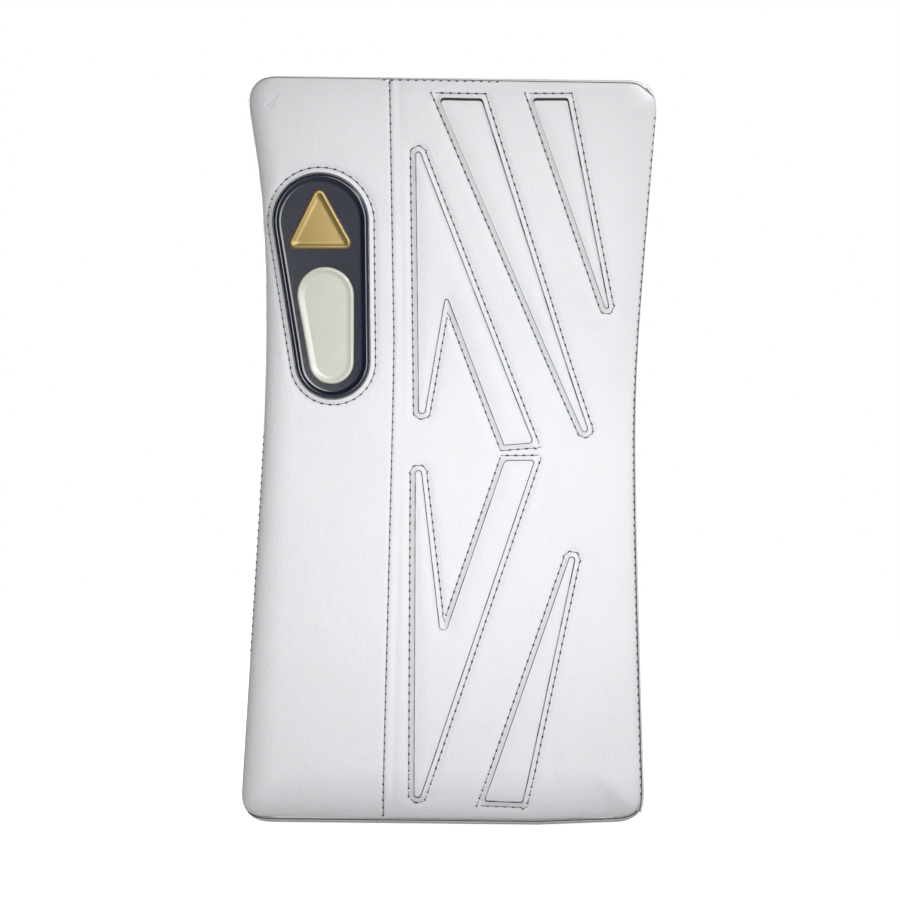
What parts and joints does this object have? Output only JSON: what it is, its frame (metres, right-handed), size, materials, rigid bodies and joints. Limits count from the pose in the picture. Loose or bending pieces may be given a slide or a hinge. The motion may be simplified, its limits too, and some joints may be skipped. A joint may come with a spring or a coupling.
{
  "type": "ice hockey goalkeeper's blocker",
  "caption": "Ice hockey goalkeeper's right-hand blocker: a padded, bent white leather board with a laced glove, side guard and strapped wrist cuff on its back.",
  "frame": {"origin": "on the flat lower edge of the board, in the middle of its thickness, 2 mm to the little-finger side of its middle", "axes": "+X towards the little-finger side, +Y out of the back of the board towards the palm of the hand, +Z from the wrist end to the fingertip end"},
  "size_m": [0.203, 0.1363, 0.3786],
  "materials": {
    "leather_white": "synthetic goalie leather with a fine grain, satin",
    "leather_side": "synthetic leather binding, satin",
    "back_nylon": "coarse nylon pack cloth, matt",
    "foam": "closed-cell foam, matt",
    "core_foam": "dense closed-cell foam, matt",
    "plate": "polyethylene sheet",
    "badge_navy": "moulded badge, gloss",
    "badge_gold": "moulded badge piece with a metallic film, satin",
    "badge_ivory": "moulded badge piece, satin",
    "palm_suede": "soft synthetic suede, matt",
    "mesh": "spacer mesh, matt",
    "webbing": "woven nylon strap, matt",
    "steel": "nickel-plated steel, polished",
    "cord": "round braided polyester lace, matt"
  },
  "bodies": {
    "board": {"face_main_panel": "leather_white", "face_thumb_strip": "leather_white", "inlay_upper_fork": "leather_white", "inlay_upper_wedge": "leather_white", "inlay_upper_point": "leather_white", "inlay_lower_fork": "leather_white", "inlay_lower_wedge": "leather_white", "badge_base": "badge_navy", "badge_delta": "badge_gold", "badge_bar": "badge_ivory", "face_foam": "foam", "impact_plate": "plate", "core_foam": "core_foam", "edge_binding": "leather_side", "side_band": "leather_side", "side_band_little_side": "leather_side", "back_panel": "back_nylon", "palm": "palm_suede", "hand_pad": "foam", "eyelet_thumb_side_1": "steel", "eyelet_thumb_side_2": "steel", "eyelet_thumb_side_3": "steel", "eyelet_thumb_side_4": "steel", "eyelet_little_side_1": "steel", "eyelet_little_side_2": "steel", "eyelet_little_side_3": "steel", "eyelet_little_side_4": "steel", "lace_thumb_side": "cord", "lace_little_side": "cord", "cuff_thumb_wing": "back_nylon", "wrist_sleeve": "mesh", "strap_loop_tape": "mesh"},
    "side_guard": {"side_guard_cover": "leather_white", "side_guard_plate": "plate", "side_guard_foam": "foam"},
    "little_wing": {"cuff_little_wing": "back_nylon"},
    "strap": {"strap": "webbing", "strap_hook_tape": "webbing"},
    "index_base": {"finger_index_base": "palm_suede", "index_guard_base": "leather_side"},
    "index_tip": {"finger_index_tip": "palm_suede", "index_guard_tip": "leather_side"},
    "middle_base": {"finger_middle_base": "palm_suede"},
    "middle_tip": {"finger_middle_tip": "palm_suede"},
    "ring_base": {"finger_ring_base": "palm_suede"},
    "ring_tip": {"finger_ring_tip": "palm_suede"},
    "little_base": {"finger_little_base": "palm_suede"},
    "little_tip": {"finger_little_tip": "palm_suede"},
    "thumb_base": {"thumb_base": "palm_suede"},
    "thumb_tip": {"thumb_tip": "palm_suede", "thumb_cap": "leather_side"}
  },
  "joints": [
    {"name": "index_curl", "type": "hinge", "parent": "board", "child": "index_base", "pos_m": [-0.0283, 0.0347, 0.21], "axis": [-1, 0, 0], "range_deg": [-8, 60]},
    {"name": "index_tip_curl", "type": "hinge", "parent": "index_base", "child": "index_tip", "pos_m": [-0.0283, 0.04438, 0.24881], "axis": [-1, 0, 0], "range_deg": [-8, 58]},
    {"name": "middle_curl", "type": "hinge", "parent": "board", "child": "middle_base", "pos_m": [-0.0041, 0.0347, 0.21], "axis": [-1, 0, 0], "range_deg": [-8, 60]},
    {"name": "middle_tip_curl", "type": "hinge", "parent": "middle_base", "child": "middle_tip", "pos_m": [-0.0041, 0.04535, 0.25269], "axis": [-1, 0, 0], "range_deg": [-8, 58]},
    {"name": "ring_curl", "type": "hinge", "parent": "board", "child": "ring_base", "pos_m": [0.0201, 0.0347, 0.21], "axis": [-1, 0, 0], "range_deg": [-8, 60]},
    {"name": "ring_tip_curl", "type": "hinge", "parent": "ring_base", "child": "ring_tip", "pos_m": [0.0201, 0.04462, 0.24978], "axis": [-1, 0, 0], "range_deg": [-8, 58]},
    {"name": "little_curl", "type": "hinge", "parent": "board", "child": "little_base", "pos_m": [0.0443, 0.0347, 0.21], "axis": [-1, 0, 0], "range_deg": [-8, 60]},
    {"name": "little_tip_curl", "type": "hinge", "parent": "little_base", "child": "little_tip", "pos_m": [0.0443, 0.04268, 0.24202], "axis": [-1, 0, 0], "range_deg": [-8, 58]},
    {"name": "thumb_curl", "type": "hinge", "parent": "board", "child": "thumb_base", "pos_m": [-0.058, 0.0381, 0.149], "axis": [-0.9877, 0, -0.1564], "range_deg": [-5, 35]},
    {"name": "thumb_tip_curl", "type": "hinge", "parent": "thumb_base", "child": "thumb_tip", "pos_m": [-0.06298, 0.04145, 0.18043], "axis": [-0.9877, 0, -0.1564], "range_deg": [-5, 35]},
    {"name": "side_guard_flex", "type": "hinge", "parent": "board", "child": "side_guard", "pos_m": [-0.098, 0.0155, 0.2], "axis": [0, 0, 1], "range_deg": [-3, 15]},
    {"name": "wing_flex", "type": "hinge", "parent": "board", "child": "little_wing", "pos_m": [0.076, 0.0169, 0.06], "axis": [0, 0, -1], "range_deg": [0, 20]},
    {"name": "strap_open", "type": "hinge", "parent": "little_wing", "child": "strap", "pos_m": [0.0793, 0.0409, 0.07], "axis": [0, 0, -1], "range_deg": [0, 110]}
  ],
  "couplings": [
    {"joint": "index_tip_curl", "follows": "index_curl", "ratio": 0.95},
    {"joint": "middle_tip_curl", "follows": "middle_curl", "ratio": 0.95},
    {"joint": "ring_tip_curl", "follows": "ring_curl", "ratio": 0.95},
    {"joint": "little_tip_curl", "follows": "little_curl", "ratio": 0.95},
    {"joint": "thumb_tip_curl", "follows": "thumb_curl", "ratio": 1}
  ]
}
